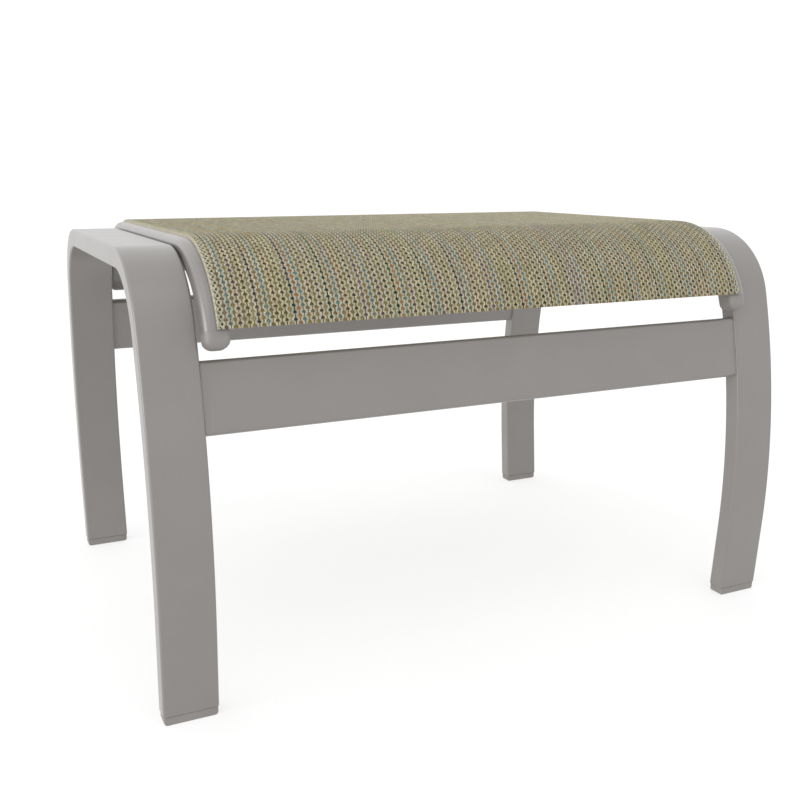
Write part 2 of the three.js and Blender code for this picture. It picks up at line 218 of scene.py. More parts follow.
# Worked out from the sizes above
LIP_FACE = -SLING_THICKNESS - FIT_GAP
SHOULDER_FACE = LIP_FACE - RAIL_LIP_RISE
RAIL_UNDERSIDE = SHOULDER_FACE - RAIL_THICKNESS
RAIL_MIDDLE = (SHOULDER_FACE + RAIL_UNDERSIDE) / 2
HEM_RADIUS = SPLINE_RADIUS + FIT_GAP + SLING_THICKNESS
CHANNEL_RADIUS = HEM_RADIUS + FIT_GAP
CHANNEL_MIDDLE = SHOULDER_FACE - RAIL_LIP_THICKNESS - CHANNEL_RADIUS
CHAMBER_TOP = CHANNEL_MIDDLE - CHANNEL_RADIUS - RAIL_WALL
CHAMBER_BOTTOM = RAIL_UNDERSIDE + RAIL_WALL
CHAMBER_MIDDLE = (CHAMBER_TOP + CHAMBER_BOTTOM) / 2
CLOTH_MIDDLE = -SLING_THICKNESS / 2
SLING_BEND_LENGTH = SLING_BEND_RADIUS * SLING_TURN
SLING_HALF_LENGTH = SLING_FLAT_HALF + SLING_BEND_LENGTH
SCREW_OFFSET = SPREADER_RADIUS + SCREW_HEAD_ROOM + SCREW_HEAD_RADIUS
SIDES = (("left", -1), ("right", 1))
ENDS = (("front", -1), ("rear", 1))


# Materials
def node_material(name):
    material = bpy.data.materials.new(name)
    material.use_nodes = True
    tree = material.node_tree
    return material, tree.nodes, tree.links, tree.nodes["Principled BSDF"]


def linear(red, green, blue):
    """A colour given as a screen shows it, from 0 to 255, in the shader's own terms."""
    shares = np.array((red, green, blue), float) / 255
    low = shares / 12.92
    high = ((shares + 0.055) / 1.055) ** 2.4
    return np.where(shares <= 0.04045, low, high)


def rgba(colour):
    return (*(float(part) for part in linear(*colour)), 1.0)


def noise(nodes, links, scale, detail=NOISE_DETAIL):
    place = nodes.new("ShaderNodeTexCoord")
    texture = nodes.new("ShaderNodeTexNoise")
    texture.inputs["Scale"].default_value = scale
    texture.inputs["Detail"].default_value = detail
    texture.inputs["Roughness"].default_value = NOISE_ROUGHNESS
    links.new(place.outputs["Object"], texture.inputs["Vector"])
    return texture.outputs["Fac"]


def ramp(nodes, links, value, first, second, shares=COLOUR_SHARES):
    """Two colours over the part of a value's range that the shares bound."""
    steps = nodes.new("ShaderNodeValToRGB")
    for element, share, colour in zip(steps.color_ramp.elements, shares, (first, second)):
        element.position = share
        element.color = rgba(colour)
    links.new(value, steps.inputs["Fac"])
    return steps.outputs["Color"]


def spread(nodes, links, value, low, high):
    """A value from 0 to 1 spread from low to high."""
    scaled = nodes.new("ShaderNodeMapRange")
    scaled.inputs["To Min"].default_value = low
    scaled.inputs["To Max"].default_value = high
    links.new(value, scaled.inputs["Value"])
    return scaled.outputs["Result"]


def multiplied(nodes, links, first, second):
    mix = nodes.new("ShaderNodeMix")
    mix.data_type = "RGBA"
    mix.blend_type = "MULTIPLY"
    mix.inputs["Factor"].default_value = 1.0
    links.new(first, mix.inputs["A"])
    links.new(second, mix.inputs["B"])
    return mix.outputs["Result"]


def bumped(nodes, links, shader, height, distance, strength, below=None):
    bump = nodes.new("ShaderNodeBump")
    bump.inputs["Distance"].default_value = distance
    bump.inputs["Strength"].default_value = strength
    links.new(height, bump.inputs["Height"])
    if below is not None:
        links.new(below, bump.inputs["Normal"])
    links.new(bump.outputs["Normal"], shader.inputs["Normal"])
    return bump.outputs["Normal"]


def plain_finish(name, colours, colour_scale, roughness, rough_scale, grain_scale, depth, strength):
    """A finish whose colour and roughness wander between two values, with a fine grain."""
    material, nodes, links, shader = node_material(name)
    links.new(ramp(nodes, links, noise(nodes, links, colour_scale), *colours), shader.inputs["Base Color"])
    rough = spread(nodes, links, noise(nodes, links, rough_scale), *roughness)
    links.new(rough, shader.inputs["Roughness"])
    bumped(nodes, links, shader, noise(nodes, links, grain_scale, FINE_DETAIL), depth, strength)
    return material, shader


def powder_coat():
    material, nodes, links, shader = node_material("taupe powder coat")
    cloudy = ramp(nodes, links, noise(nodes, links, 22), (117, 113, 110), (120, 116, 113))
    grain = noise(nodes, links, 1500, FINE_DETAIL)
    speckle = ramp(nodes, links, grain, (247, 247, 246), (255, 255, 255), SPECKLE_SHARES)
    links.new(multiplied(nodes, links, cloudy, speckle), shader.inputs["Base Color"])
    links.new(spread(nodes, links, noise(nodes, links, 40), 0.32, 0.42), shader.inputs["Roughness"])
    shader.inputs["Specular IOR Level"].default_value = 0.8
    shader.inputs["Coat Weight"].default_value = 0.5
    shader.inputs["Coat Roughness"].default_value = 0.3
    fine = bumped(nodes, links, shader, noise(nodes, links, 1700, FINE_DETAIL), COAT_GRAIN_DEPTH, 0.5)
    bumped(nodes, links, shader, noise(nodes, links, 420, FINE_DETAIL), COAT_RIPPLE_DEPTH, 0.3, fine)
    return material


def moulded_plastic():
    material, _ = plain_finish(
        "moulded grey plastic", colours=((125, 121, 118), (131, 127, 124)), colour_scale=70,
        roughness=(0.42, 0.58), rough_scale=160,
        grain_scale=2600, depth=PLASTIC_GRAIN_DEPTH, strength=0.5,
    )
    return material


def hem_rod():
    material, _ = plain_finish(
        "black vinyl rod", colours=((30, 30, 31), (42, 42, 43)), colour_scale=300,
        roughness=(0.35, 0.5), rough_scale=500,
        grain_scale=900, depth=ROD_GRAIN_DEPTH, strength=0.3,
    )
    return material


def zinc_steel():
    material, shader = plain_finish(
        "zinc plated steel", colours=((176, 178, 181), (205, 206, 207)), colour_scale=700,
        roughness=(0.25, 0.45), rough_scale=1200,
        grain_scale=1500, depth=ZINC_GRAIN_DEPTH, strength=0.4,
    )
    shader.inputs["Metallic"].default_value = 1.0
    return material


def woven_yarn():
    """Vinyl coated yarn. Its colour and the place across the strand come with the strands."""
    material, nodes, links, shader = node_material("vinyl coated yarn")
    dyed = nodes.new("ShaderNodeVertexColor")
    dyed.layer_name = "yarn"
    worn = ramp(nodes, links, noise(nodes, links, 900), (212, 210, 206), (242, 242, 242), WEAR_SHARES)
    links.new(multiplied(nodes, links, dyed.outputs["Color"], worn), shader.inputs["Base Color"])
    links.new(spread(nodes, links, noise(nodes, links, 600), 0.6, 0.8), shader.inputs["Roughness"])
    shader.inputs["Specular IOR Level"].default_value = 0.08
    across = nodes.new("ShaderNodeAttribute")
    across.attribute_name = "across"
    turns = nodes.new("ShaderNodeMath")
    turns.operation = "MULTIPLY"
    turns.inputs[1].default_value = YARN_RIDGES * math.pi
    links.new(across.outputs["Fac"], turns.inputs[0])
    ridges = nodes.new("ShaderNodeMath")
    ridges.operation = "COSINE"
    links.new(turns.outputs["Value"], ridges.inputs[0])
    grain = noise(nodes, links, 2400, FINE_DETAIL)
    grain = bumped(nodes, links, shader, grain, YARN_GRAIN_DEPTH, 0.5)
    bumped(nodes, links, shader, ridges.outputs["Value"], YARN_RIDGE_DEPTH, 0.6, grain)
    return material


def painted_shade_core():
    # The core's dark brown is painted shade: it shows in the openings between strands, standing in for the
    # shadow seen through an open weave
    material, shader = plain_finish(
        "cloth core in painted shade and glow", colours=((92, 84, 58), (122, 112, 80)), colour_scale=500,
        roughness=(0.6, 0.85), rough_scale=900,
        grain_scale=1500, depth=CORE_GRAIN_DEPTH, strength=0.4,
    )
    # Painted light: the core glows, standing in for light that comes through the cloth
    shader.inputs["Emission Color"].default_value = (1, 1, 0.96, 1)
    shader.inputs["Emission Strength"].default_value = CORE_PAINTED_GLOW
    return material


def floor_finish():
    material, nodes, links, shader = node_material("white floor")
    colour = ramp(nodes, links, noise(nodes, links, 3), (144, 144, 144), (148, 148, 148))
    links.new(colour, shader.inputs["Base Color"])
    shader.inputs["Emission Color"].default_value = (1, 1, 1, 1)
    shader.inputs["Emission Strength"].default_value = FLOOR_GLOW
    shader.inputs["Roughness"].default_value = 0.9
    shader.inputs["Specular IOR Level"].default_value = 0.1
    return material


COAT = powder_coat()
PLASTIC = moulded_plastic()
ROD = hem_rod()
ZINC = zinc_steel()
YARN = woven_yarn()
PAINTED_CORE = painted_shade_core()


# Outlines
def arc(x, y, radius, start, end, steps):
    angles = np.linspace(start, end, steps + 1)
    return np.stack([x + radius * np.cos(angles), y + radius * np.sin(angles)], 1)


def circle(x, y, radius, sides):
    return arc(x, y, radius, 0, 2 * math.pi, sides)[:-1]


def unevenly_rounded(width, height, radii, middle):
    """A rounded rectangle, anticlockwise from its right side, with its corners' radii in that order."""
    quarter = math.pi / 2
    corners = ((1, 1), (-1, 1), (-1, -1), (1, -1))
    return np.concatenate([
        arc(
            right * (width / 2 - radius), middle + up * (height / 2 - radius), radius,
            turn * quarter, (turn + 1) * quarter, CORNER_STEPS,
        )
        for turn, ((right, up), radius) in enumerate(zip(corners, radii))
    ])


def rounded(width, height, radius, middle=0.0):
    return unevenly_rounded(width, height, (radius, radius, radius, radius), middle)


# Bent paths in the Y and Z plane
def station(top, parts, place):
    """Where a path is at a distance from its middle, with the direction out of the bend. Each part has a
    length and a turn, and a place past the last part goes straight on."""
    y, z, heading, left = 0.0, top, 0.0, abs(place)
    for length, turn in (*parts, (math.inf, 0)):
        step = min(left, length)
        if turn:
            radius = length / turn
            ahead = heading + step / radius
            y += radius * (math.sin(ahead) - math.sin(heading))
            z += radius * (math.cos(ahead) - math.cos(heading))
            heading = ahead
        else:
            y += step * math.cos(heading)
            z -= step * math.sin(heading)
        left -= step
        if left <= 0:
            break
    side = math.copysign(1, place)
    return side * y, z, side * math.sin(heading), math.cos(heading)


def stations(top, parts, places):
    return np.array([station(top, parts, place) for place in places])


def both_ways(half):
    """Places over the whole path, from those of its rear half."""
    half = np.asarray(half)
    return np.concatenate([half[::-1], -half[half > 0]])


def half_places(parts, steps):
    places = [0.0]
    for (length, _), count in zip(parts, steps):
        start = places[-1]
        places.extend(start + length * (step + 1) / count for step in range(count))
    return places


SLING_PARTS = ((SLING_FLAT_HALF, 0), (SLING_BEND_LENGTH, SLING_TURN))


# Pieces
def new_piece(name, points, faces, material, smooth_below=SMOOTH_BELOW):
    mesh = bpy.data.meshes.new(name)
    mesh.from_pydata([tuple(point) for point in points], [], [tuple(face) for face in faces])
    tidy = bmesh.new()
    tidy.from_mesh(mesh)
    bmesh.ops.recalc_face_normals(tidy, faces=tidy.faces)
    tidy.to_mesh(mesh)
    tidy.free()
    mesh.shade_smooth()
    mesh.set_sharp_from_angle(angle=math.radians(smooth_below))
    mesh.materials.append(material)
    piece = bpy.data.objects.new(name, mesh)
    bpy.context.scene.collection.objects.link(piece)
    return piece


def even_shading(piece):
    """Keeps flat faces flat where they meet a rounded edge."""
    weighted = piece.modifiers.new("even shading", "WEIGHTED_NORMAL")
    weighted.keep_sharp = True
    return piece


def finish_piece(piece, slot, *nodes):
    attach(piece, "root")
    if nodes:
        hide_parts(*nodes)
    return piece


def ring_faces(rings, size, start=0):
    """Faces between rings of points that follow one another."""
    ring, point = np.meshgrid(np.arange(rings - 1), np.arange(size), indexing="ij")
    after = (point + 1) % size
    here = start + ring * size
    there = here + size
    return np.stack([here + point, here + after, there + after, there + point], -1).reshape(-1, 4)


def swept(outline, path):
    """Points of a closed outline, across and out, at each station of a path."""
    across = np.broadcast_to(outline[None, :, 0], (len(path), len(outline)))
    y = path[:, None, 0] + outline[None, :, 1] * path[:, None, 2]
    z = path[:, None, 1] + outline[None, :, 1] * path[:, None, 3]
    return np.stack([across, y, z], -1)


def swept_solid(name, outlines, path, material):
    """A solid of one section swept along a path, with bores for the outlines after the first."""
    points, faces = [], []
    start = 0
    for outline in outlines:
        points.append(swept(outline, path).reshape(-1, 3))
        faces.extend(ring_faces(len(path), len(outline), start))
        start += len(path) * len(outline)
    loops = [[Vector((x, y, 0)) for x, y in outline] for outline in outlines]
    sizes = [len(outline) for outline in outlines]
    for triangle in tessellate_polygon(loops):
        for last in (False, True):
            faces.append([end_point(sizes, len(path), index, last) for index in triangle])
    return new_piece(name, np.concatenate(points), faces, material)


def end_point(sizes, rings, index, last):
    """The point of a swept solid's first or last ring that a point of its outlines became."""
    start = 0
    for size in sizes:
        if index < size:
            return start + index + (rings - 1) * size * last
        index -= size
        start += rings * size


def stacked_solid(name, rings, material, smooth_below=SMOOTH_BELOW):
    """A solid through rings of points, closed at both ends."""
    levels, size = len(rings), len(rings[0])
    faces = [list(face) for face in ring_faces(levels, size)]
    faces.append(list(range(size)))
    faces.append(list(range((levels - 1) * size, levels * size)))
    return new_piece(name, np.concatenate(rings), faces, material, smooth_below)


def straight_tube(name, outline, bore, half_length):
    """A tube across the footstool, from the outlines of its outside and its bore as y and z."""
    size = len(outline)
    points = []
    for section in (outline, bore):
        for x in (-half_length, half_length):
            points.append(np.column_stack([np.full(size, x), section]))
    faces = [*ring_faces(2, size), *ring_faces(2, size, 2 * size)]
    for outer, inner in ((0, 2 * size), (size, 3 * size)):
        for point in range(size):
            after = (point + 1) % size
            faces.append([outer + point, outer + after, inner + after, inner + point])
    return new_piece(name, np.concatenate(points), faces, COAT)


def weld_bead(name, rings):
    """A bead that closes on itself, through rings of points in the order of its section."""
    size = len(rings[0])
    closing = ring_faces(2, size) % size
    closing[:, 2:] += (len(rings) - 1) * size
    faces = [*ring_faces(len(rings), size), *closing]
    bead = new_piece(name, np.concatenate(rings), faces, COAT, WELD_SMOOTH_BELOW)
    return finish_piece(bead, "frame_coat")


def drilled(piece, drills):
    """The piece with the holes of the drills, which are taken away."""
    for drill in drills:
        cut = piece.modifiers.new("hole", "BOOLEAN")
        cut.operation = "DIFFERENCE"
        cut.solver = "EXACT"
        cut.object = drill
    made = piece.evaluated_get(bpy.context.evaluated_depsgraph_get())
    mesh = bpy.data.meshes.new_from_object(made)
    piece.modifiers.clear()
    piece.data = mesh
    for drill in drills:
        bpy.data.objects.remove(drill)
    mesh.shade_smooth()
    mesh.set_sharp_from_angle(angle=math.radians(SMOOTH_BELOW))
    return piece


def drill_across(start, end, y, z, radius):
    ring = circle(y, z, radius, BAR_SIDES)
    rings = [np.column_stack([np.full(BAR_SIDES, x), ring]) for x in (start, end)]
    return stacked_solid("drill", rings, COAT)


def screw_places():
    return [end * SPREADER_Y + step * SCREW_OFFSET for end in (1, -1) for step in (1, -1)]


# Side frames
FOOT_HEADING = SHOULDER_TURN + BOW_TURN
SHOULDER_END_Z = FRAME_HEIGHT - SHOULDER_RADIUS * (1 - math.cos(SHOULDER_TURN))
BOW_FALL_SHARE = math.cos(SHOULDER_TURN) - math.cos(FOOT_HEADING)
BOW_RADIUS = (SHOULDER_END_Z - FOOT_END_Z - FOOT_STRAIGHT) / BOW_FALL_SHARE
FRAME_PARTS = (
    (FRAME_FLAT_HALF, 0),
    (SHOULDER_RADIUS * SHOULDER_TURN, SHOULDER_TURN),
    (BOW_RADIUS * BOW_TURN, BOW_TURN),
)


def frame_path():
    half = half_places(FRAME_PARTS, (FLAT_STEPS, SHOULDER_STEPS, BOW_STEPS))
    path = stations(FRAME_HEIGHT, FRAME_PARTS, both_ways(half))
    y, z, _, _ = station(FRAME_HEIGHT, FRAME_PARTS, half[-1])
    foot_y = y + (z - FOOT_END_Z) / math.tan(FOOT_HEADING)
    level = 1 / math.sin(FOOT_HEADING)
    rear = np.array([[foot_y, FOOT_END_Z, level, 0]])
    front = np.array([[-foot_y, FOOT_END_Z, -level, 0]])
    return np.concatenate([rear, path, front]), foot_y


def side_frame(side, sign):
    path, _ = frame_path()
    middle = -BAR_THICKNESS / 2
    outline = rounded(BAR_WIDTH, BAR_THICKNESS, BAR_EDGE_RADIUS, middle)
    bore_radius = BAR_EDGE_RADIUS / 2
    bore = rounded(BAR_WIDTH - 2 * BAR_WALL, BAR_THICKNESS - 2 * BAR_WALL, bore_radius, middle)
    for loop in (outline, bore):
        loop[:, 0] += sign * FRAME_MIDDLE_X
    tube = swept_solid(f"{side}_side_frame_bent_tube", (outline, bore), path, COAT)
    start = sign * (FRAME_INNER_X - CUT_OVERRUN)
    end = sign * (FRAME_INNER_X + BAR_WALL + CUT_OVERRUN)
    drilled(tube, [drill_across(start, end, y, SPREADER_Z, NUT_HOLE_RADIUS) for y in screw_places()])
    return finish_piece(even_shading(tube), "frame_coat", f"{side}_side_frame")


def leg_face(z):
    """The outer face of the rear leg at a height: its place and its heading."""
    heading = math.acos(math.cos(SHOULDER_TURN) - (SHOULDER_END_Z - z) / BOW_RADIUS)
    end_y = FRAME_FLAT_HALF + SHOULDER_RADIUS * math.sin(SHOULDER_TURN)
    return end_y + BOW_RADIUS * (math.sin(heading) - math.sin(SHOULDER_TURN)), heading


# Stretchers
def stretcher_section(sign, larger_by=0.0):
    """The stretcher's outline as y and z, larger all round by a length."""
    middle_z = FRAME_HEIGHT - STRETCHER_DROP
    face_y, heading = leg_face(middle_z)
    set_in = STRETCHER_RECESS + STRETCHER_THICKNESS / 2
    out = np.array([math.sin(heading), math.cos(heading)])
    up = np.array([-math.cos(heading), math.sin(heading)])
    middle = np.array([face_y, middle_z]) - set_in * out
    thickness = STRETCHER_THICKNESS + 2 * larger_by
    height = STRETCHER_HEIGHT + 2 * larger_by
    loop = rounded(thickness, height, STRETCHER_EDGE_RADIUS + larger_by)
    return (middle + loop[:, :1] * out + loop[:, 1:] * up) * (sign, 1)


def stretcher_weld(end, end_sign, side, sign):
    """The fine bead all round the end of a stretcher, against the side frame."""
    seat_x = FRAME_INNER_X - WELD_GAP
    rings = []
    for turn in np.linspace(0, math.pi / 2, FINE_BEAD_STEPS + 1):
        section = stretcher_section(end_sign, STRETCHER_BEAD * (1 - math.sin(turn)))
        x = seat_x - STRETCHER_BEAD * (1 - math.cos(turn))
        rings.append(np.column_stack([np.full(len(section), sign * x), section]))
    inner = stretcher_section(end_sign, -STRETCHER_WALL / 2)
    for x in (seat_x - STRETCHER_BEAD, seat_x):
        rings.append(np.column_stack([np.full(len(inner), sign * x), inner]))
    return weld_bead(f"{end}_{side}_stretcher_weld", rings)


def stretcher(end, sign):
    outline = stretcher_section(sign)
    bore = stretcher_section(sign, -STRETCHER_WALL)
    tube = straight_tube(f"{end}_stretcher_tube", outline, bore, FRAME_INNER_X - FIT_GAP)
    return finish_piece(even_shading(tube), "frame_coat", f"{end}_stretcher")


# Sling rails
def neck_and_circle(x, y, radius, neck_half, steps):
    start = math.acos(neck_half / radius)
    return arc(x, y, radius, start, -math.pi - start, steps)


def rail_outline():
    quarter = math.pi / 2
    radius = RAIL_EDGE_RADIUS
    x = RAIL_WIDTH / 2 - radius
    shoulder_x = RAIL_WIDTH / 2 - RAIL_SHOULDER_RADIUS
    low = RAIL_UNDERSIDE + radius
    shoulder = SHOULDER_FACE - RAIL_SHOULDER_RADIUS
    slot_edge = SLOT_HALF + RAIL_LIP_EDGE
    return np.concatenate([
        arc(-x, low, radius, 2 * quarter, 3 * quarter, CORNER_STEPS),
        arc(x, low, radius, 3 * quarter, 4 * quarter, CORNER_STEPS),
        arc(shoulder_x, shoulder, RAIL_SHOULDER_RADIUS, 0, quarter, 2 * CORNER_STEPS),
        [[slot_edge, SHOULDER_FACE], [SLOT_HALF, SHOULDER_FACE - RAIL_LIP_EDGE]],
        neck_and_circle(0, CHANNEL_MIDDLE, CHANNEL_RADIUS, SLOT_HALF, ROD_SIDES),
        [[-SLOT_HALF, LIP_FACE - RAIL_LIP_EDGE], [-slot_edge, LIP_FACE]],
        arc(-x, LIP_FACE - radius, radius, quarter, 2 * quarter, CORNER_STEPS),
    ])


def rail_places():
    half = half_places(SLING_PARTS, (FLAT_STEPS, SLING_BEND_STEPS))
    return both_ways([*half, half[-1] + RAIL_PAST_SLING])


def sling_rail(side, sign):
    outline = rail_outline() * (sign, 1)
    width = RAIL_WIDTH - 2 * RAIL_WALL
    chamber = rounded(width, CHAMBER_TOP - CHAMBER_BOTTOM, RAIL_WALL / 2, CHAMBER_MIDDLE)
    for loop in (outline, chamber):
        loop[:, 0] += sign * RAIL_MIDDLE_X
    path = stations(SLING_HEIGHT, SLING_PARTS, rail_places())
    rail = swept_solid(f"{side}_sling_rail_extrusion", (outline, chamber), path, COAT)
    start = sign * (RAIL_MIDDLE_X - RAIL_WIDTH / 2 - CUT_OVERRUN)
    end = sign * (RAIL_MIDDLE_X + RAIL_WIDTH / 2 + CUT_OVERRUN)
    radius = SCREW_RADIUS + FIT_GAP
    drilled(rail, [drill_across(start, end, y, SPREADER_Z, radius) for y in screw_places()])
    return finish_piece(even_shading(rail), "frame_coat", f"{side}_sling_rail")


def rail_cap(end, end_sign, side, sign):
    """A moulded nose that closes the rail, with a plug in the rail's chamber."""
    y, z, out_y, out_z = station(SLING_HEIGHT, SLING_PARTS, SLING_HALF_LENGTH + RAIL_PAST_SLING)
    levels = []
    for turn in np.linspace(0, math.pi / 2, 2 * CORNER_STEPS + 1):
        inset = CAP_NOSE_RADIUS * (1 - math.sin(turn))
        levels.append((-CAP_LENGTH + CAP_NOSE_RADIUS * (1 - math.cos(turn)), inset))
    levels.append((-CAP_SEAM - CAP_RIM, 0))
    levels.append((-CAP_SEAM, CAP_RIM))
    rings = []
    for along, inset in levels:
        edge = max(RAIL_EDGE_RADIUS - CAP_EDGE_SHARE * inset, CAP_LEAST_RADIUS)
        shoulder = max(RAIL_SHOULDER_RADIUS - CAP_SHOULDER_SHARE * inset, CAP_LEAST_RADIUS)
        radii = (shoulder, edge, edge, edge) if sign > 0 else (edge, shoulder, edge, edge)
        ring = unevenly_rounded(RAIL_WIDTH - 2 * inset, RAIL_THICKNESS - 2 * inset, radii, RAIL_MIDDLE)
        rings.append((along, ring))
    clearance = 2 * (RAIL_WALL + CAP_PLUG_CLEARANCE)
    chamber = CHAMBER_TOP - CHAMBER_BOTTOM - 2 * CAP_PLUG_CLEARANCE
    plug = rounded(RAIL_WIDTH - clearance, chamber, CAP_PLUG_RADIUS, CHAMBER_MIDDLE)
    rings.append((-CAP_SEAM, plug))
    rings.append((CAP_PLUG_LENGTH - FIT_GAP, plug))
    placed = []
    for along, ring in rings:
        ring_y = y + ring[:, 1] * out_y - along * out_z
        ring_z = z + ring[:, 1] * out_z + along * out_y
        placed.append(np.column_stack([sign * RAIL_MIDDLE_X + ring[:, 0], end_sign * ring_y, ring_z]))
    cap = stacked_solid(f"{end}_{side}_rail_cap_moulding", placed, PLASTIC)
    return finish_piece(even_shading(cap), "moulded_plastic", f"{end}_{side}_rail_cap")


# Glides
def edge_inset(height, radius):
    """How far a rounded bottom edge is drawn in at a height."""
    below = max(radius - height, 0)
    return radius - math.sqrt(radius ** 2 - below ** 2)


def glide(end, end_sign, side, sign):
    """A rounded foot, with a plug that follows the leg's lean up into the tube."""
    _, foot_y = frame_path()
    depth = BAR_THICKNESS / math.sin(FOOT_HEADING)
    middle_y = foot_y - depth / 2
    lean = -1 / math.tan(FOOT_HEADING)
    levels = []
    for z in np.linspace(0, GLIDE_END_RADIUS, 3 * CORNER_STEPS):
        across = GLIDE_INSET + edge_inset(z, GLIDE_END_RADIUS)
        along = GLIDE_INSET + edge_inset(z, GLIDE_FACE_RADIUS)
        levels.append((z, across, along, 0))
    levels.append((GLIDE_HEIGHT - GLIDE_RIM, GLIDE_INSET, GLIDE_INSET, 0))
    levels.append((GLIDE_HEIGHT, GLIDE_INSET + GLIDE_RIM, GLIDE_INSET + GLIDE_RIM, 0))
    plug = BAR_WALL + FIT_GAP
    levels.append((GLIDE_HEIGHT, plug, plug, 0))
    plug_top = glide_high.z
    levels.append((plug_top, plug, plug, lean * (plug_top - FOOT_END_Z)))
    rings = []
    for z, across, along, shift in levels:
        radius = max(BAR_EDGE_RADIUS - across / 2, GLIDE_LEAST_RADIUS)
        ring = rounded(BAR_WIDTH - 2 * across, depth - 2 * along, radius, shift)
        x = sign * FRAME_MIDDLE_X + ring[:, 0]
        rings.append(np.column_stack([x, end_sign * (middle_y + ring[:, 1]), np.full(len(ring), z)]))
    foot = stacked_solid(f"{end}_{side}_glide_moulding", rings, PLASTIC)
    return finish_piece(even_shading(foot), "moulded_plastic", f"{end}_{side}_glide")


# Hem splines
def hem_spline(side, sign):
    outline = circle(sign * RAIL_MIDDLE_X, CHANNEL_MIDDLE, SPLINE_RADIUS, ROD_SIDES)
    places = both_ways(half_places(SLING_PARTS, (FLAT_STEPS, SLING_BEND_STEPS)))
    path = stations(SLING_HEIGHT, SLING_PARTS, places)
    rod = swept_solid(f"{side}_hem_spline_rod", (outline,), path, ROD)
    return finish_piece(rod, "hem_rod", f"{side}_hem_spline")


# Spreader bars, plates and screws
def spreader_bar(end, end_sign):
    sections = [
        circle(end_sign * SPREADER_Y, SPREADER_Z, radius, BAR_SIDES)
        for radius in (SPREADER_RADIUS, SPREADER_RADIUS - SPREADER_WALL)
    ]
    bar = straight_tube(f"{end}_spreader_bar_tube", *sections, plate_low.x - FIT_GAP)
    return finish_piece(bar, "frame_coat", f"{end}_spreader_bar")


def spreader_plate(end, end_sign, side, sign):
    length = plate_high.y - plate_low.y
    height = plate_high.z - plate_low.z
    levels = (
        (plate_low.x, PLATE_EDGE),
        (plate_low.x + PLATE_EDGE, 0),
        (plate_high.x - PLATE_EDGE, 0),
        (plate_high.x, PLATE_EDGE),
    )
    rings = []
    for x, inset in levels:
        ring = rounded(length - 2 * inset, height - 2 * inset, PLATE_CORNER_RADIUS - inset)
        y = end_sign * SPREADER_Y + ring[:, 0]
        rings.append(np.column_stack([np.full(len(ring), sign * x), y, SPREADER_Z + ring[:, 1]]))
    plate = stacked_solid(f"{end}_{side}_spreader_plate_pressing", rings, COAT, PLATE_SMOOTH_BELOW)
    start = sign * (plate_low.x - CUT_OVERRUN)
    stop = sign * (plate_high.x + CUT_OVERRUN)
    radius = SCREW_RADIUS + FIT_GAP
    places = [end_sign * SPREADER_Y + step * SCREW_OFFSET for step in (1, -1)]
    drilled(plate, [drill_across(start, stop, y, SPREADER_Z, radius) for y in places])
    return finish_piece(even_shading(plate), "frame_coat", f"{end}_{side}_spreader_plate")


def spreader_weld(end, end_sign, side, sign):
    """The bead that joins a spreader bar to its plate, with the ripples of its passes."""
    angles = np.linspace(0, 2 * math.pi, BEAD_SIDES, endpoint=False)
    size = SPREADER_BEAD + BEAD_RIPPLE * np.cos(BEAD_RIPPLES * angles)
    seat_x = plate_low.x - WELD_GAP
    profile = [
        (seat_x - size * (1 - math.cos(turn)), SPREADER_RADIUS + size * (1 - math.sin(turn)))
        for turn in np.linspace(0, math.pi / 2, BEAD_STEPS + 1)
    ]
    inner = SPREADER_RADIUS - SPREADER_WALL / 2
    profile += [(plate_low.x - SPREADER_BEAD, inner), (seat_x, inner)]
    rings = []
    for x, radius in profile:
        y = end_sign * SPREADER_Y + radius * np.cos(angles)
        z = SPREADER_Z + radius * np.sin(angles)
        rings.append(np.column_stack([np.broadcast_to(sign * x, angles.shape), y, z]))
    return weld_bead(f"{end}_{side}_spreader_weld", rings)


def rail_screw(side, sign, number, y):
    """A screw with a rounded head and a six-sided socket, turned about X."""
    node = f"{side}_rail_screw_{number}"
    low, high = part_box(node)
    seat = min(abs(low.x), abs(high.x)) + SCREW_HEAD_HEIGHT
    tip = max(abs(low.x), abs(high.x))
    angles = np.linspace(0, 2 * math.pi, SCREW_SIDES, endpoint=False)
    sixth = math.pi / 3
    across = SOCKET_RADIUS * math.cos(sixth / 2) / np.cos((angles % sixth) - sixth / 2)
    crown = SCREW_CROWN_SHARE * SCREW_HEAD_RADIUS
    side_height = SCREW_HEAD_SIDE_SHARE * SCREW_HEAD_HEIGHT
    profile = [(across, SCREW_HEAD_HEIGHT - SOCKET_DEPTH), (across, SCREW_HEAD_HEIGHT)]
    for turn in np.linspace(0, math.pi / 2, SCREW_CROWN_STEPS + 1):
        height = side_height + (SCREW_HEAD_HEIGHT - side_height) * math.cos(turn)
        profile.append((SCREW_HEAD_RADIUS - crown * (1 - math.sin(turn)), height))
    profile += [(SCREW_HEAD_RADIUS, 0), (SCREW_RADIUS, 0), (SCREW_RADIUS, seat - tip + SCREW_TIP_EDGE)]
    profile.append((SCREW_RADIUS - SCREW_TIP_EDGE, seat - tip))
    rings = []
    for radius, height in profile:
        radius = np.broadcast_to(radius, angles.shape)
        x = np.full(SCREW_SIDES, sign * (seat - height))
        ring_y = y + radius * np.cos(angles)
        rings.append(np.column_stack([x, ring_y, SPREADER_Z + radius * np.sin(angles)]))
    screw = stacked_solid(f"{node}_turned", rings, ZINC)
    return finish_piece(screw, "zinc_steel", node)
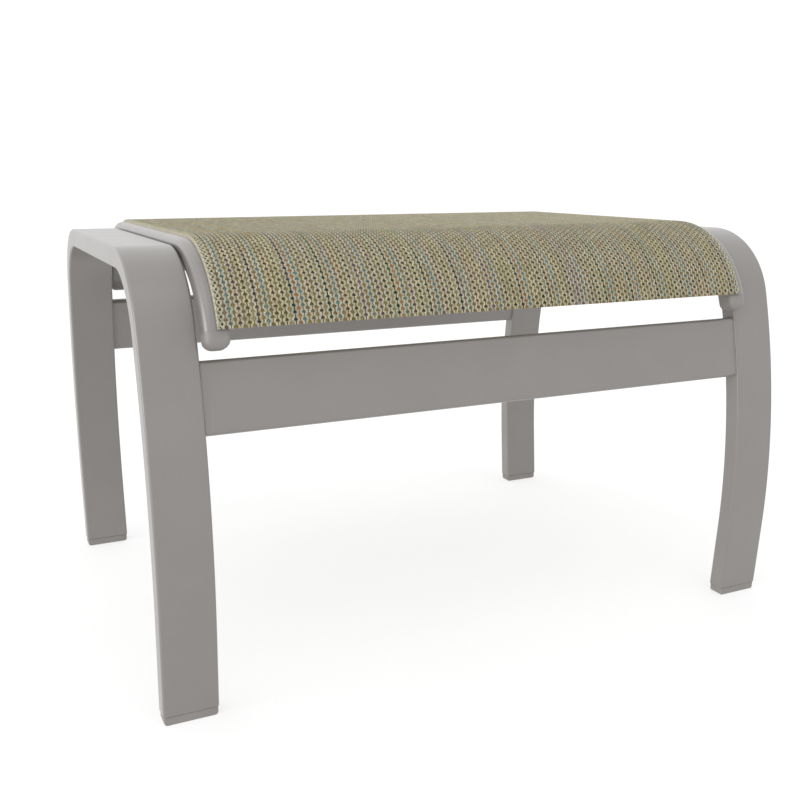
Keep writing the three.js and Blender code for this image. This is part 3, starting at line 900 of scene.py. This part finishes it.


# The sling's cloth: a thin core in painted shade, wefts, coloured warps and, over them, pairs of pale
# laces
YARN_COLOURS = {
    "bark": (64, 62, 42),
    "stone": (148, 136, 94),
    "slate": (44, 60, 54),
    "tan": (140, 112, 70),
    "teal": (96, 126, 128),
    "camel": (132, 116, 68),
    "brown": (88, 72, 48),
    "khaki": (128, 122, 74),
    "orange": (164, 116, 70),
    "lilac": (108, 94, 108),
    "rose": (138, 108, 90),
    "moss": (98, 104, 50),
    "ash": (118, 118, 104),
    "cream": (212, 206, 183),
    "sand": (194, 186, 156),
}
STRIPE = ("bark", "stone", "slate", "tan", "teal", "camel", "brown", "khaki")
# Where other yarns take a place in a stripe: the place, the yarn and the numbers of the stripes
OTHER_YARNS = (
    (3, "orange", (1, 4, 8, 12, 15)),
    (5, "tan", (2, 5, 13)),
    (2, "lilac", (3, 7, 10)),
)
DRIFT_COLOURS = ("rose", "moss", "ash", "camel", "khaki", "lilac")
# How much less the laces cover of the strong colours
LACE_TRIMS = {"orange": 0.0, "teal": 0.16 * MM, "slate": 0.2 * MM, "lilac": 0.16 * MM}
WEFT_TINT_SHARE = 0.4
LACE_TINT_SHARE = 0.14
STRONG_TINT_SHARE = 0.12
DRIFT_SHARE = 0.6
STRONG_DRIFT_SHARE = 0.4
DRIFT_CROSSINGS = 5
SHADE_CROSSINGS = 2
LACE_DRIFT_RINGS = 14
# Least and most of the width and the light of the strands, as shares of their usual ones
WEFT_WIDTH_SHARES = (0.92, 1.08)
WEFT_LIGHT_SHARES = (0.8, 1.1)
WARP_WIDTH_SHARES = (0.9, 1.1)
WARP_LIGHT_SHARES = (0.75, 1.25)
LACE_WIDTH_SHARES = (0.9, 1.1)
LACE_LIGHT_SHARES = (0.78, 1.18)
HEM_SHADE_SHARE = 0.7
EDGE_WARP_SHARE = 0.5
STRAND_RING = np.array([(1, 0), (0, 1), (-1, 0), (0, -1)])
random = np.random.default_rng(29)

# One stitch of a lace at its turning points: how far along it, how far from the column's middle, how
# high, how wide to each side and how light. How light is painted shade by height: the high bars are
# made darker and the low turns lighter.
LACE_STITCH = (
    (0.0, 1.9 * MM, 0.42 * MM, 1.75 * MM, 0.79),
    (0.16, 1.6 * MM, 0.38 * MM, 1.2 * MM, 0.83),
    (0.43, 0.95 * MM, 0.16 * MM, 0.78 * MM, 1.02),
    (0.5, 2.0 * MM, 0.42 * MM, 1.7 * MM, 0.79),
    (0.66, 2.5 * MM, 0.38 * MM, 1.05 * MM, 0.83),
    (0.93, 3.0 * MM, 0.16 * MM, 0.62 * MM, 1.02),
)


def warp_places():
    """The warps across the sling, with one more in each edge."""
    edge = RAIL_MIDDLE_X - WARP_EDGE_INSET
    first = math.ceil((-edge + WARP_PITCH / 2 - WARP_START) / WARP_PITCH)
    last = math.floor((edge - WARP_PITCH / 2 - WARP_START) / WARP_PITCH)
    numbers = np.arange(first - 1, last + 2)
    places = WARP_START + numbers * WARP_PITCH
    places[0], places[-1] = -edge, edge
    return numbers, places


def weft_places():
    half = round((SLING_HALF_LENGTH - WEFT_PITCH / 2) / WEFT_PITCH)
    return np.arange(-half, half + 1) * WEFT_PITCH


def varied(shape, low, high):
    return low + (high - low) * random.random(shape)


def drifting(strands, crossings, every):
    """A value from 0 to 1 that drifts along each strand, with a new one after every few crossings."""
    knots = random.random((strands, crossings // every + 3))
    # The last place is just short of the last knot
    place = np.linspace(0, knots.shape[1] - 1.001, crossings)
    low = place.astype(int)
    share = place - low
    return knots[:, low] * (1 - share) + knots[:, low + 1] * share


def warp_yarn(number):
    """The yarn of a warp: its place in the repeating stripe, with other yarns in some of them."""
    stripe, place = divmod(number, len(STRIPE))
    for other_place, yarn, stripes in OTHER_YARNS:
        if place == other_place and stripe in stripes:
            return yarn
    return STRIPE[place]


def warp_colours(numbers, crossings):
    """The colour of each warp at each weft, which drifts towards another yarn's and back."""
    colours = np.empty((len(numbers), crossings, 3))
    drift = drifting(len(numbers), crossings, DRIFT_CROSSINGS)
    shade = drifting(len(numbers), crossings, SHADE_CROSSINGS)
    dark, light = WARP_LIGHT_SHARES
    for strand, number in enumerate(numbers):
        name = warp_yarn(number)
        other = DRIFT_COLOURS[random.integers(len(DRIFT_COLOURS))]
        own = linear(*YARN_COLOURS[name])
        far = linear(*YARN_COLOURS[other])
        reach = STRONG_DRIFT_SHARE if name in LACE_TRIMS else DRIFT_SHARE
        colours[strand] = own + reach * drift[strand][:, None] * (far - own)
        colours[strand] *= (dark + (light - dark) * shade[strand])[:, None]
    # Painted shade: the edge warps are made darker at every second crossing
    shades = np.where(np.arange(crossings) % 2, 1.0, HEM_SHADE_SHARE)
    colours[[0, -1]] = linear(*YARN_COLOURS["cream"]) * shades[:, None]
    return colours


def tinted(base, tint, share):
    """Pale yarn with a share of another yarn's hue."""
    hue = tint / tint.mean(-1, keepdims=True) * base.mean(-1, keepdims=True)
    return base * (1 - share) + hue * share


def strand_mesh(name, rings, colours, across):
    """Strands as one piece, with rings by strand, ring and point and colours by strand and ring."""
    strands, count, size = rings.shape[:3]
    faces = []
    ends = []
    for strand in range(strands):
        start = strand * count * size
        faces.append(ring_faces(count, size, start))
        ends.append(list(range(start, start + size)))
        ends.append(list(range(start + (count - 1) * size, start + count * size))[::-1])
    mesh = bpy.data.meshes.new(name)
    mesh.from_pydata(rings.reshape(-1, 3).tolist(), [], [*np.concatenate(faces).tolist(), *ends])
    mesh.shade_smooth()
    dyed = mesh.color_attributes.new("yarn", "FLOAT_COLOR", "POINT")
    shown = np.ones((strands, count, size, 4))
    shown[..., :3] = colours[:, :, None]
    dyed.data.foreach_set("color", shown.ravel())
    place = mesh.attributes.new("across", "FLOAT", "POINT")
    place.data.foreach_set("value", np.broadcast_to(across, (strands, count, size)).ravel())
    mesh.materials.append(YARN)
    piece = bpy.data.objects.new(name, mesh)
    bpy.context.scene.collection.objects.link(piece)
    return finish_piece(piece, "sling_weave")


def strand_pieces(name, rings, colours, groups):
    """Strands as several pieces, none of them too fine to handle."""
    return [
        strand_mesh(f"{name}_{number + 1}", rings[group], colours[group], STRAND_RING[:, 0])
        for number, group in enumerate(np.array_split(np.arange(len(rings)), groups))
    ]


def unit(vectors):
    return vectors / np.linalg.norm(vectors, axis=-1, keepdims=True)


def weft_pieces(numbers, warp_x, weft_s, warps):
    """Strands that run across the sling, under the warps and down into both rails."""
    rows = np.ones((len(weft_s), 1))
    over = 1 - 2 * ((numbers[None] + np.arange(len(weft_s))[:, None]) % 2)
    # Round the rail's lip and down into the slot
    turn = np.linspace(0, math.pi / 2, WEFT_END_STEPS + 1)[1:]
    bend = SLING_THICKNESS / 2
    edge_x = np.append(RAIL_MIDDLE_X - bend + bend * np.sin(turn), RAIL_MIDDLE_X)
    edge_out = np.append(-bend + bend * np.cos(turn), -HEM_DEPTH)
    edges = len(edge_x)
    x = np.concatenate([-edge_x[::-1], warp_x, edge_x])
    waves = WEFT_HEIGHT + over * WEFT_WAVE
    out = CLOTH_MIDDLE + np.concatenate([rows * edge_out[::-1], waves, rows * edge_out], 1)
    width = WEFT_HALF_WIDTH * varied(out.shape, *WEFT_WIDTH_SHARES)
    sand, cream = linear(*YARN_COLOURS["sand"]), linear(*YARN_COLOURS["cream"])
    colours = tinted(sand, warps.transpose(1, 0, 2), WEFT_TINT_SHARE)
    colours *= varied((*over.shape, 1), *WEFT_LIGHT_SHARES)
    ends = np.broadcast_to(cream, (len(weft_s), edges, 3))
    colours = np.concatenate([ends, colours, ends], 1)
    slope = unit(np.stack([np.gradient(x)[None] * rows, np.gradient(out, axis=1)], -1))
    path = stations(SLING_HEIGHT, SLING_PARTS, weft_s)
    rings = np.empty((*out.shape, len(STRAND_RING), 3))
    for index, (sideways, up) in enumerate(STRAND_RING):
        rise = up * WEFT_HALF_THICKNESS
        point_out = out + rise * slope[..., 0]
        along = sideways * width
        rings[..., index, 0] = x[None] - rise * slope[..., 1]
        rings[..., index, 1] = path[:, None, 0] + point_out * path[:, None, 2] + along * path[:, None, 3]
        rings[..., index, 2] = path[:, None, 1] + point_out * path[:, None, 3] - along * path[:, None, 2]
    return strand_pieces("sling_wefts", rings, colours, WEFT_PIECES)


def strands_along(x, out, s, half_width, half_thickness):
    """Rings of strands that run from rear to front, at places across the sling and heights on it."""
    path = stations(SLING_HEIGHT, SLING_PARTS, s)
    y = path[None, :, 0] + out * path[None, :, 2]
    z = path[None, :, 1] + out * path[None, :, 3]
    middle = np.stack([np.broadcast_to(x, out.shape), y, z], -1)
    beside = np.array([1.0, 0.0, 0.0])
    above = np.stack([np.zeros(len(s)), path[:, 2], path[:, 3]], -1)[None]
    half_width = np.broadcast_to(half_width, out.shape)
    return np.stack([
        middle + sideways * half_width[..., None] * beside + up * half_thickness * above
        for sideways, up in STRAND_RING
    ], 2)


def warp_pieces(numbers, warp_x, weft_s, colours):
    """Coloured strands that run straight over the wefts."""
    s = np.concatenate([[-SLING_HALF_LENGTH], weft_s, [SLING_HALF_LENGTH]])
    over = 2 * ((numbers[:, None] + np.arange(len(s))[None]) % 2) - 1
    colours = np.concatenate([colours[:, :1], colours, colours[:, -1:]], 1)
    width = np.where(numbers % 2 == 0, DARK_WARP_HALF_WIDTH, LIGHT_WARP_HALF_WIDTH)[:, None]
    width = width * varied(over.shape, *WARP_WIDTH_SHARES)
    width[[0, -1]] *= EDGE_WARP_SHARE
    x = warp_x[:, None] + varied(over.shape, -WARP_SHIFT, WARP_SHIFT)
    out = CLOTH_MIDDLE + WARP_HEIGHT + over * WARP_WAVE
    out[[0, -1]] += WARP_WAVE
    rings = strands_along(x, out, s, width, WARP_HALF_THICKNESS)
    return strand_pieces("sling_warps", rings, colours, WARP_PIECES)


def lace_pieces(numbers, warp_x, warps):
    """Pale strands in pairs, one on each side of every second warp. They near it once in each stitch."""
    stitch = 2 * WEFT_PITCH
    count = math.ceil(2 * SLING_HALF_LENGTH / stitch) + 1
    along, aside, high, wide, light = (np.tile(column, count) for column in np.array(LACE_STITCH).T)
    s = SLING_HALF_LENGTH - (np.repeat(np.arange(count), len(LACE_STITCH)) + along) * stitch
    inside = s > -SLING_HALF_LENGTH
    aside, high, wide, light, s = (values[inside] for values in (aside, high, wide, light, s))
    s[-1] = -SLING_HALF_LENGTH
    x, width, tinting, shares = [], [], [], []
    for middle in np.flatnonzero(numbers % 2 == 1):
        for side in (-1, 1):
            beside = middle + side
            if not 0 <= beside < len(numbers):
                continue
            # Laces leave more of a strong colour open, under them or beside them
            outer = LACE_TRIMS.get(warp_yarn(numbers[beside]), 0)
            inner = LACE_TRIMS.get(warp_yarn(numbers[middle]), 0)
            x.append(warp_x[middle] + side * (aside + (inner - outer) / 2))
            width.append(wide - (inner + outer) / 2)
            tinting.append(middle if inner else beside)
            shares.append(STRONG_TINT_SHARE if inner or outer else LACE_TINT_SHARE)
    x, width = np.array(x), np.array(width)
    x += varied(x.shape, -LACE_SHIFT, LACE_SHIFT)
    out = CLOTH_MIDDLE + high[None] + varied(x.shape, -LACE_LIFT, LACE_LIFT)
    width *= varied(x.shape, *LACE_WIDTH_SHARES)
    crossing = np.linspace(warps.shape[1] - 1, 0, len(s)).round().astype(int)
    tint = warps[tinting][:, crossing]
    cream, sand = linear(*YARN_COLOURS["cream"]), linear(*YARN_COLOURS["sand"])
    share = drifting(len(x), len(s), LACE_DRIFT_RINGS)[..., None]
    base = cream + share * (sand - cream)
    colours = tinted(base, tint, np.array(shares)[:, None, None])
    # Random tone, times the stitch's painted shade by height
    colours *= varied((*x.shape, 1), *LACE_LIGHT_SHARES) * light[None, :, None]
    rings = strands_along(x, out, s, width, LACE_HALF_THICKNESS)
    return strand_pieces("sling_laces", rings, colours, LACE_PIECES)


def cloth_outline():
    """The core's section: a hem round each rod, up through the slot and across."""
    half = CLOTH_THICKNESS / 2
    loop = neck_and_circle(RAIL_MIDDLE_X, CHANNEL_MIDDLE, HEM_LOOP_RADIUS, half, ROD_SIDES)
    bend = SLING_THICKNESS / 2
    inner_x = RAIL_MIDDLE_X - bend
    right = np.concatenate([
        arc(inner_x, CLOTH_MIDDLE - bend, bend + half, math.pi / 2, 0, CORNER_STEPS),
        loop,
        arc(inner_x, CLOTH_MIDDLE - bend, bend - half, 0, math.pi / 2, CORNER_STEPS),
    ])
    left = right[::-1] * (-1, 1)
    return np.concatenate([right, left])


def cloth():
    """The core closes round the hem rods as a thin skin."""
    outline = cloth_outline()
    radius = HEM_LOOP_RADIUS - CLOTH_THICKNESS
    rods = [circle(sign * RAIL_MIDDLE_X, CHANNEL_MIDDLE, radius, ROD_SIDES) for _, sign in SIDES]
    places = both_ways(half_places(SLING_PARTS, (CLOTH_FLAT_STEPS, SLING_BEND_STEPS)))
    path = stations(SLING_HEIGHT, SLING_PARTS, places)
    core = swept_solid("sling_cloth", (outline, *rods), path, PAINTED_CORE)
    return finish_piece(core, "sling_weave", "sling")


def woven_sling():
    numbers, warp_x = warp_places()
    weft_s = weft_places()
    warps = warp_colours(numbers, len(weft_s))
    strands = weft_pieces(numbers, warp_x, weft_s, warps)
    strands += warp_pieces(numbers, warp_x, weft_s, warps)
    strands += lace_pieces(numbers, warp_x, warps)
    core = cloth()


for side, sign in SIDES:
    side_frame(side, sign)
    sling_rail(side, sign)
    hem_spline(side, sign)
    for number, y in enumerate(screw_places()):
        rail_screw(side, sign, number + 1, y)
        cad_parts[f"{side}_rivet_nut_{number + 1}"].material_slots[0].material = ZINC
for end, end_sign in ENDS:
    stretcher(end, end_sign)
    spreader_bar(end, end_sign)
    for side, sign in SIDES:
        rail_cap(end, end_sign, side, sign)
        glide(end, end_sign, side, sign)
        spreader_plate(end, end_sign, side, sign)
        spreader_weld(end, end_sign, side, sign)
        stretcher_weld(end, end_sign, side, sign)
woven_sling()


# Floor, light and camera
FLOOR_HALF = 12.0
SKY_STRENGTH = 1.18
# Each lamp's name, its place, what it points at, its size and its power
LAMPS = (
    ("front light", (-0.8, -1.4, 2.8), (0, 0, 0.3), 2.0, 8),
    ("left light", (-3.0, -0.5, 0.7), (0, 0, 0.25), 1.6, 36),
)
CAMERA_PLACE = (-0.4430, -0.9400, 0.4386)
CAMERA_TILT = math.radians(90 - 13.27)
CAMERA_TURN = math.radians(-25.23)
CAMERA_LENS = 43.39
CAMERA_SENSOR = 36
CAMERA_REACH = 100


def floor():
    mesh = bpy.data.meshes.new("floor")
    corners = [(x * FLOOR_HALF, y * FLOOR_HALF, 0) for x, y in ((-1, -1), (1, -1), (1, 1), (-1, 1))]
    mesh.from_pydata(corners, [], [(0, 1, 2, 3)])
    mesh.materials.append(floor_finish())
    ground = bpy.data.objects.new("floor", mesh)
    bpy.context.scene.collection.objects.link(ground)


def area_light(name, place, target, size, power):
    data = bpy.data.lights.new(name, "AREA")
    data.size = size
    data.energy = power
    light = bpy.data.objects.new(name, data)
    light.location = place
    light.rotation_euler = (Vector(target) - Vector(place)).to_track_quat("-Z", "Y").to_euler()
    bpy.context.scene.collection.objects.link(light)


def sky():
    world = bpy.data.worlds.new("white room")
    world.use_nodes = True
    background = world.node_tree.nodes["Background"]
    background.inputs["Color"].default_value = (1, 1, 1, 1)
    background.inputs["Strength"].default_value = SKY_STRENGTH
    bpy.context.scene.world = world


def camera():
    data = bpy.data.cameras.new("camera")
    data.sensor_width = CAMERA_SENSOR
    data.lens = CAMERA_LENS
    data.clip_end = CAMERA_REACH
    view = bpy.data.objects.new("camera", data)
    view.location = CAMERA_PLACE
    view.rotation_euler = (CAMERA_TILT, 0, CAMERA_TURN)
    bpy.context.scene.collection.objects.link(view)
    bpy.context.scene.camera = view


floor()
sky()
for lamp in LAMPS:
    area_light(*lamp)
camera()
bpy.context.scene.view_settings.view_transform = "Standard"
